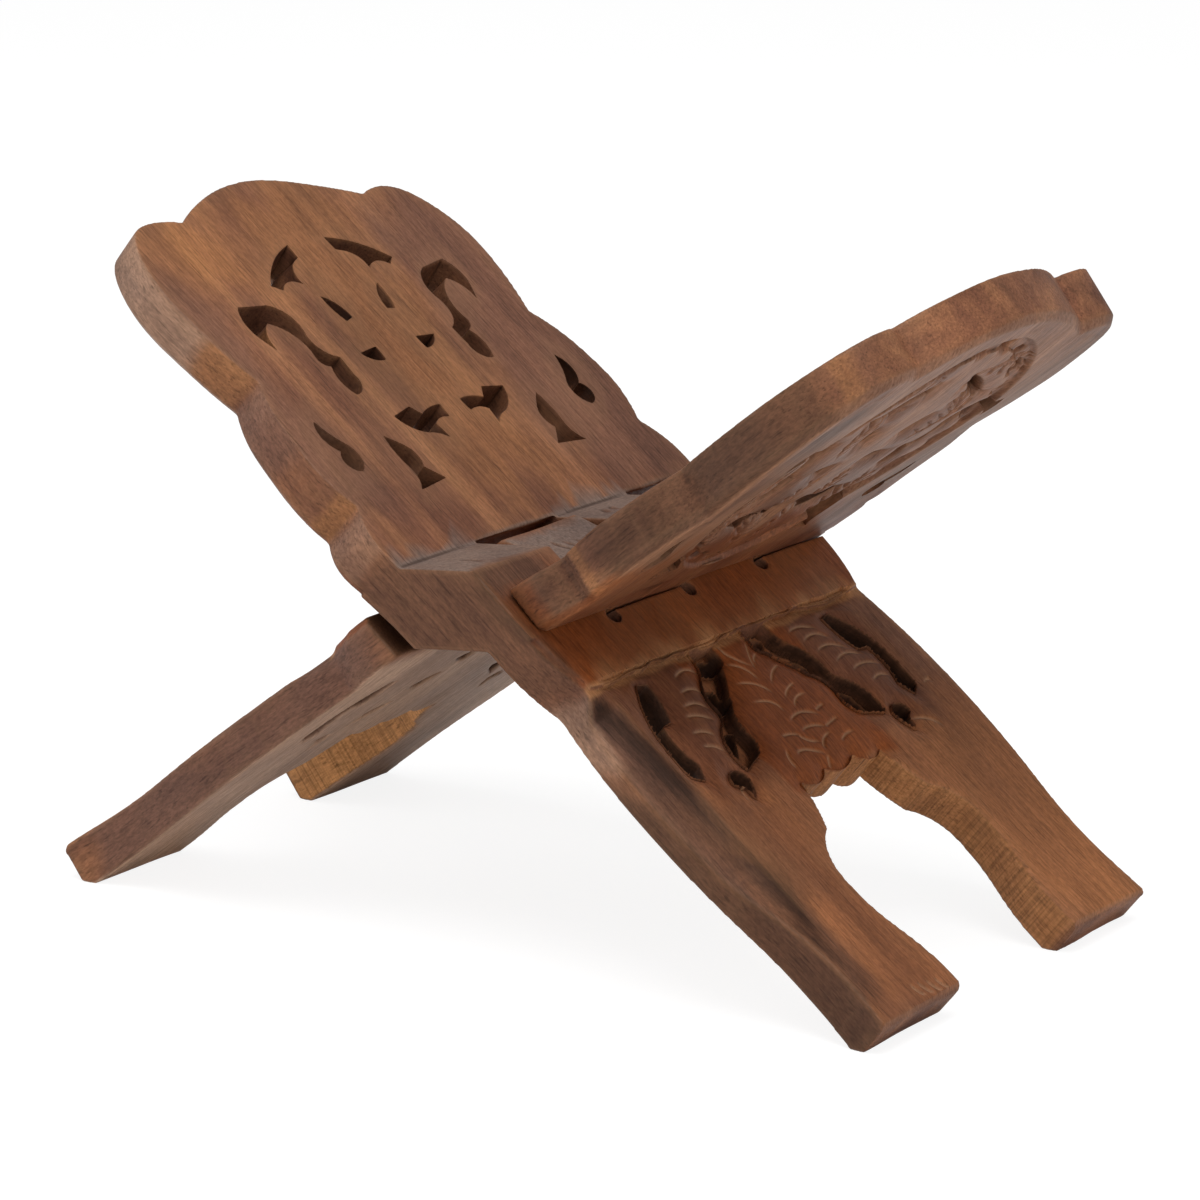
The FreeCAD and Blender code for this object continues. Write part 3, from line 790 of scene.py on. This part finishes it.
def carve_field(skin):
    """Leaves that swell out of the sunk oval field behind the panel, with veins and deep pockets."""
    zone = field_zone(skin, skin.normals())
    flat = skin.place[zone][:, 1:]
    oval = np.hypot(flat[:, 0] / FIELD_HALF_WIDTH, (flat[:, 1] - FIELD_MIDDLE) / FIELD_HALF_LENGTH)
    border = ease(oval, *FIELD_BORDER_SHARES)
    swell = FIELD_RISE * (1 - np.exp(-rim_gap(skin, zone) / FIELD_SLOPE))
    swell = np.where(oval > FIELD_LOW_SHARE, swell * FIELD_LOW_RISE, swell)
    veins = CUT_DEPTH * cut_marks(flat, field_veins(), CUT_WIDTH)
    pockets = POCKET_DEPTH * cut_marks(flat, field_pockets(), POCKET_WIDTH)
    depth = skin.place[zone, 0] - swell + np.maximum(veins, pockets)
    skin.place[zone, 0] = border * -HALF_THICKNESS + (1 - border) * depth


def tear_facets(skin, tears):
    """Fibres torn out where the chisel met the grain in the crease of the hinge."""
    normal = skin.normals()
    zone = facet_zone(skin, normal)
    torn = cut_marks(skin.place[zone][:, 1:], tears, TEAR_WIDTH)
    skin.place[zone] -= TEAR_DEPTH * torn[:, None] * normal[zone]


def depart(skin, departures):
    """Moves parts of the leaf to where the carver's hand left them."""
    start = skin.place.copy()
    for middle, reach, shift in departures:
        away = (start - np.array(middle)) / np.array(reach)
        skin.place += np.exp(-(away ** 2).sum(1))[:, None] * np.array(shift)


def keep_inside(skin, placement):
    """Holds every point above the floor and inside the box of the solids."""
    turn = np.array(placement.to_3x3())
    shift = np.array(placement.translation) / MM
    stands = skin.place @ turn.T + shift
    low = np.array(cad_box[0]) / MM + BOX_MARGIN
    high = np.array(cad_box[1]) / MM - BOX_MARGIN
    skin.place = (np.clip(stands, low, high) - shift) @ turn


def thinned(mesh, cut):
    """The mesh with fewer triangles where it is flat, which keeps those in the carved strokes."""
    dense = bpy.data.objects.new("dense", mesh)
    bpy.context.scene.collection.objects.link(dense)
    plain = dense.vertex_groups.new(name="plain")
    plain.add(np.flatnonzero(cut < KEPT_CUT).tolist(), 1.0, "REPLACE")
    decimate = dense.modifiers.new("thin", "DECIMATE")
    decimate.ratio = min(1.0, MOST_TRIANGLES / len(mesh.polygons))
    decimate.vertex_group = plain.name
    graph = bpy.context.evaluated_depsgraph_get()
    thin = bpy.data.meshes.new_from_object(dense.evaluated_get(graph))
    bpy.data.objects.remove(dense)
    return thin


def facing(normal):
    """How much each point faces each way of the plank."""
    shares = {}
    for axis, name in enumerate("nya"):
        shares[name + "+"] = ease(normal[:, axis], *SIDE_FACING)
        shares[name + "-"] = ease(-normal[:, axis], *SIDE_FACING)
    shares["wall"] = 1 - ease(np.abs(normal[:, 0]), *WALL_FACING)
    return shares


def paint_tones(skin, normal, tones, streaks):
    """Golden, grey, red and dark areas with ragged soft borders, painted light and shade among them, and dark
    streaks along the legs.
    """
    ways = facing(normal)
    ragged = np.stack([ripple(skin.place, TONE_RAGGED_WAVES, seed) for seed in TONE_RAGGED_SEEDS], -1)
    layers = {name: np.zeros(len(normal)) for name in WOOD_TONES_AND_PAINTED_LIGHT}
    for way, *ranges, tone, strength, border in tones:
        share = strength * ways[way]
        for axis, (low, high) in enumerate(ranges):
            value = skin.place[:, axis]
            soft = TONE_DEPTH_BORDER / 2
            if axis:
                value = value + TONE_RAGGED_SHARE * border * ragged[:, axis]
                soft = border / 2
            share = share * ease(value, low - soft, low + soft) * fall(value, high - soft, high + soft)
        layers[tone] = np.maximum(layers[tone], share)
    dark = layers["dark"]
    zone = np.flatnonzero((skin.place[:, 0] > STREAK_LEAST_DEPTH) & (skin.place[:, 2] < STEP_HEIGHT))
    wavy = skin.place[zone][:, 1:] + STREAK_WANDER * ragged[zone, :2] * (1, 0)
    for line, width in streaks:
        mark = np.minimum(1, STREAK_STRENGTH * cut_marks(wavy, [line], width))
        dark[zone] = np.maximum(dark[zone], mark)
    for _ in range(DARK_SMOOTHING_ROUNDS):
        dark = (dark + skin.averaged(dark)) / 2
    layers["dark"] = dark
    for name, values in layers.items():
        skin.paint(name, values)


def paint_wear_and_shade(skin, normal, tears, knots):
    """Worn edges, painted shade in hollows and pockets, pale fresh cuts, torn fibres, knots and saw marks."""
    n, y, a = skin.place.T
    calm = skin.place.copy()
    for _ in range(WEAR_ROUNDS):
        calm += WEAR_SHARE * (skin.averaged(calm) - calm)
    lift = np.einsum("ij,ij->i", skin.place - calm, normal)
    skin.paint("wear", ease(lift, *WEAR_LIFTS))
    # Painted shade in hollows, weaker along the step, and in the pockets of the field
    painted_recess_shade = ease(-lift, *RECESS_SHADE_LIFTS)
    painted_recess_shade[(n > STEP_SHADE_DEPTH) & (np.abs(a - STEP_HEIGHT) < STEP_SHADE_REACH)] *= STEP_SHADE_SHARE
    zone = field_zone(skin, normal)
    pockets = cut_marks(skin.place[zone][:, 1:], field_pockets(), POCKET_WIDTH)
    painted_recess_shade[zone] = np.maximum(painted_recess_shade[zone], pockets)
    skin.paint("painted_recess_shade", painted_recess_shade)
    pale = np.zeros(len(normal))
    zone = leg_zone(skin, normal)
    pale[zone] = cut_marks(skin.place[zone][:, 1:], LEG_CUTS + MIDDLE_LEAF_VEINS, PALE_WIDTH)
    skin.paint("pale", pale)
    torn = np.zeros(len(normal))
    zone = facet_zone(skin, normal)
    torn[zone] = cut_marks(skin.place[zone][:, 1:], tears, TEAR_WIDTH)
    for *middle, radius in knots:
        gap = np.linalg.norm(skin.place[:, 1:] - np.array(middle), axis=1) / radius
        torn = np.maximum(torn, KNOT_STRENGTH * np.exp(-gap ** 2) * (normal[:, 0] > KNOT_FACING))
    skin.paint("torn", torn)
    skin.paint("sawn", facing(normal)["wall"] * ease(-a, *SAWN_HEIGHTS) * ease(-np.abs(y), *SAWN_SIDES))


class Nodes:
    """A short way to write shader nodes."""

    def __init__(self, tree):
        self.tree = tree

    def add(self, kind, inputs=None, **settings):
        node = self.tree.nodes.new("ShaderNode" + kind)
        for name, value in settings.items():
            setattr(node, name, value)
        for name, value in (inputs or {}).items():
            if isinstance(value, bpy.types.NodeSocket):
                self.tree.links.new(value, node.inputs[name])
            else:
                node.inputs[name].default_value = value
        return node

    def noise(self, place, scale, detail, roughness, distortion):
        mapped = self.add("Mapping", {"Vector": place, "Scale": scale}).outputs[0]
        inputs = {"Vector": mapped, "Scale": 1.0, "Detail": detail}
        inputs.update({"Roughness": roughness, "Distortion": distortion})
        return self.add("TexNoise", inputs).outputs["Fac"]

    def ramp(self, factor, stops):
        node = self.add("ValToRGB", {"Fac": factor})
        elements = node.color_ramp.elements
        while len(elements) < len(stops):
            elements.new(0.5)
        for element, (position, colour) in zip(elements, stops):
            element.position = position
            element.color = (*colour, 1) if isinstance(colour, tuple) else (colour, colour, colour, 1)
        return node.outputs["Color"]

    def mix(self, factor, first, second, blend="MIX"):
        if isinstance(second, tuple):
            second = (*second, 1)
        inputs = {0: factor, 6: first, 7: second}
        return self.add("Mix", inputs, data_type="RGBA", blend_type=blend).outputs[2]

    def math(self, operation, first, second=0.0):
        node = self.add("Math", {0: first, 1: second}, operation=operation)
        return node.outputs[0]

    def mark(self, name):
        return self.add("Attribute", attribute_name=name).outputs["Fac"]


def wood_colour(nodes, grain):
    """Purple and golden figure, the painted tones over it with painted light and shade among them, fine
    grain, marks of wear and of the tools, and painted shade in hollows.
    """
    streaks = nodes.math("MULTIPLY", grain["streaks"], STREAK_SHARE)
    bands = nodes.math("MULTIPLY", grain["bands"], BAND_SHARE)
    figure = nodes.math("ADD", streaks, bands)
    colour = nodes.ramp(figure, FIGURE_COLOURS)
    for name, tone in WOOD_TONES_AND_PAINTED_LIGHT.items():
        share = nodes.mark(name)
        if name != "dark":
            share = nodes.math("MULTIPLY", share, nodes.ramp(figure, TONE_FIGURE))
        colour = nodes.mix(share, colour, tone)
    for name, share, stops in GRAIN_TINTS:
        colour = nodes.mix(share, colour, nodes.ramp(grain[name], stops), "MULTIPLY")
    sawn = nodes.math("MULTIPLY", nodes.mark("sawn"), SAW_TINT_SHARE)
    colour = nodes.mix(sawn, colour, nodes.ramp(grain["saw_lines"], SAW_TINT), "MULTIPLY")
    for name, share, tone in MARK_COLOURS:
        colour = nodes.mix(nodes.math("MULTIPLY", nodes.mark(name), share), colour, tone)
    return colour


def wood_finish():
    """Brown hardwood with streaks along the grain, rubbed to a satin polish."""
    material = bpy.data.materials.new("carved_wood_finish")
    material.use_nodes = True
    nodes = Nodes(material.node_tree)
    shader = material.node_tree.nodes["Principled BSDF"]
    place = nodes.add("Attribute", attribute_name="plank").outputs["Vector"]
    grain = {name: nodes.noise(place, *settings) for name, settings in GRAIN.items()}
    links = material.node_tree.links
    links.new(wood_colour(nodes, grain), shader.inputs["Base Color"])
    links.new(nodes.ramp(grain["fibres"], FIBRE_ROUGHNESS), shader.inputs["Roughness"])
    shader.inputs["Specular IOR Level"].default_value = SPECULAR_LEVEL
    ridges = nodes.math("MULTIPLY", grain["saw_lines"], SAW_RIDGES)
    saw_ridges = nodes.math("MULTIPLY", nodes.mark("sawn"), ridges)
    relief = nodes.math("ADD", grain["fibres"], nodes.math("MULTIPLY", grain["pores"], PORE_RELIEF))
    height = nodes.math("ADD", relief, saw_ridges)
    bump = nodes.add(
        "Bump", {"Height": height, "Strength": GRAIN_BUMP_STRENGTH, "Distance": GRAIN_BUMP_HEIGHT * MM}
    )
    links.new(bump.outputs[0], shader.inputs["Normal"])
    return material


def carved_leaf(name, node, mount, finish, seed, departures, tears, tones, streaks, knots, own_work):
    """One leaf: its solid remeshed, carved, thinned, painted and moved to where the carver left it."""
    placement = leaf_placement(mount)
    mesh = even_mesh(node, placement)
    refine(mesh)
    skin = Skin(mesh)
    soften_edges(skin)
    narrow_fret(skin)
    for work in own_work:
        work(skin)
    work_by_hand(skin, seed)
    cut = carve_legs(skin)
    carve_field(skin)
    tear_facets(skin, tears)
    skin.normals()
    mesh = thinned(mesh, cut)
    skin = Skin(mesh)
    normal = skin.normals()
    paint_tones(skin, normal, EITHER_LEAF_TONES + tones, streaks)
    paint_wear_and_shade(skin, normal, tears, knots)
    layer = mesh.attributes.new("plank", "FLOAT_VECTOR", "POINT")
    layer.data.foreach_set("vector", (skin.place * MM).astype(np.float32).ravel())
    depart(skin, departures)
    keep_inside(skin, placement)
    skin.normals()
    mesh.transform(placement)
    mesh.polygons.foreach_set("use_smooth", np.ones(len(mesh.polygons), bool))
    mesh.set_sharp_from_angle(angle=math.radians(SHARP_EDGE_ANGLE))
    mesh.materials.clear()
    mesh.materials.append(finish)
    leaf = bpy.data.objects.new(name, mesh)
    bpy.context.scene.collection.objects.link(leaf)
    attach(leaf, node)
    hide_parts(node)


def floor():
    """A plain pale floor that keeps the stand's shadow."""
    corners = [(x * FLOOR_REACH, y * FLOOR_REACH, 0) for x, y in ((-1, -1), (1, -1), (1, 1), (-1, 1))]
    mesh = bpy.data.meshes.new("floor")
    mesh.from_pydata(corners, [], [(0, 1, 2, 3)])
    ground = bpy.data.objects.new("floor", mesh)
    bpy.context.scene.collection.objects.link(ground)
    material = bpy.data.materials.new("pale_floor")
    material.use_nodes = True
    nodes = Nodes(material.node_tree)
    shader = material.node_tree.nodes["Principled BSDF"]
    shader.inputs["Base Color"].default_value = (FLOOR_TONE, FLOOR_TONE, FLOOR_TONE, 1)
    shader.inputs["Roughness"].default_value = FLOOR_ROUGHNESS
    glow = nodes.add("Emission", {"Color": (1, 1, 1, 1), "Strength": FLOOR_GLOW})
    seen = nodes.add("LightPath").outputs["Is Camera Ray"]
    share = nodes.math("MULTIPLY", seen, FLOOR_GLOW_SHARE)
    blend = nodes.add("MixShader", {0: share, 1: shader.outputs[0], 2: glow.outputs[0]})
    output = material.node_tree.nodes["Material Output"]
    material.node_tree.links.new(blend.outputs[0], output.inputs["Surface"])
    mesh.materials.append(material)


def room_light():
    """Even light from all round, with a white background for the camera."""
    world = bpy.data.worlds.new("studio")
    bpy.context.scene.world = world
    world.use_nodes = True
    nodes = Nodes(world.node_tree)
    background = world.node_tree.nodes["Background"]
    path = nodes.add("LightPath")
    seen = nodes.math("MAXIMUM", path.outputs["Is Camera Ray"], path.outputs["Is Transmission Ray"])
    strength = nodes.math("MAXIMUM", seen, ROOM_STRENGTH)
    background.inputs["Color"].default_value = (1, 1, 1, 1)
    world.node_tree.links.new(strength, background.inputs["Strength"])


def lamp(name, place, aim, size, power):
    """A soft round lamp that faces its aim."""
    light = bpy.data.lights.new(name, "AREA")
    light.shape = "DISK"
    light.size = size
    light.energy = power
    holder = bpy.data.objects.new(name, light)
    holder.location = place
    holder.rotation_euler = (Vector(aim) - Vector(place)).to_track_quat("-Z", "Y").to_euler()
    bpy.context.scene.collection.objects.link(holder)


def photo_camera():
    """The camera where the photo was taken from."""
    azimuth, elevation, roll = (math.radians(v) for v in (CAMERA_AZIMUTH, CAMERA_ELEVATION, CAMERA_ROLL))
    level = Vector((math.cos(azimuth), math.sin(azimuth), 0))
    outward = Vector((math.sin(azimuth), -math.cos(azimuth), 0))
    back = outward * math.cos(elevation) + Vector((0, 0, math.sin(elevation)))
    upright = back.cross(level)
    right = level * math.cos(roll) + upright * math.sin(roll)
    turn = Matrix((right, back.cross(right), back)).transposed()
    data = bpy.data.cameras.new("photo_camera")
    data.sensor_width = CAMERA_SENSOR
    data.lens = CAMERA_LENS
    camera = bpy.data.objects.new("photo_camera", data)
    place = (Vector(CAMERA_AIM) + back * CAMERA_DISTANCE) * MM
    camera.matrix_world = Matrix.Translation(place) @ turn.to_4x4()
    bpy.context.scene.collection.objects.link(camera)
    bpy.context.scene.camera = camera


finish = wood_finish()
carved_leaf(
    "carved_left_leaf", "left_leaf", "left_reading_face", finish, seed=11,
    departures=LEFT_DEPARTURES, tears=LEFT_FACET_TEARS, tones=LEFT_TONES,
    streaks=LEFT_STREAKS, knots=LEFT_KNOTS, own_work=[slope_near_leg],
)
carved_leaf(
    "carved_right_leaf", "right_leaf", "right_reading_face", finish, seed=23,
    departures=RIGHT_DEPARTURES, tears=RIGHT_FACET_TEARS, tones=RIGHT_TONES,
    streaks=[], knots=[], own_work=[taper_neck, square_far_edge, wear_shoulder],
)
floor()
room_light()
for lamp_name, settings in LAMPS.items():
    lamp(lamp_name, *settings)
photo_camera()
bpy.context.scene.view_settings.view_transform = "Standard"
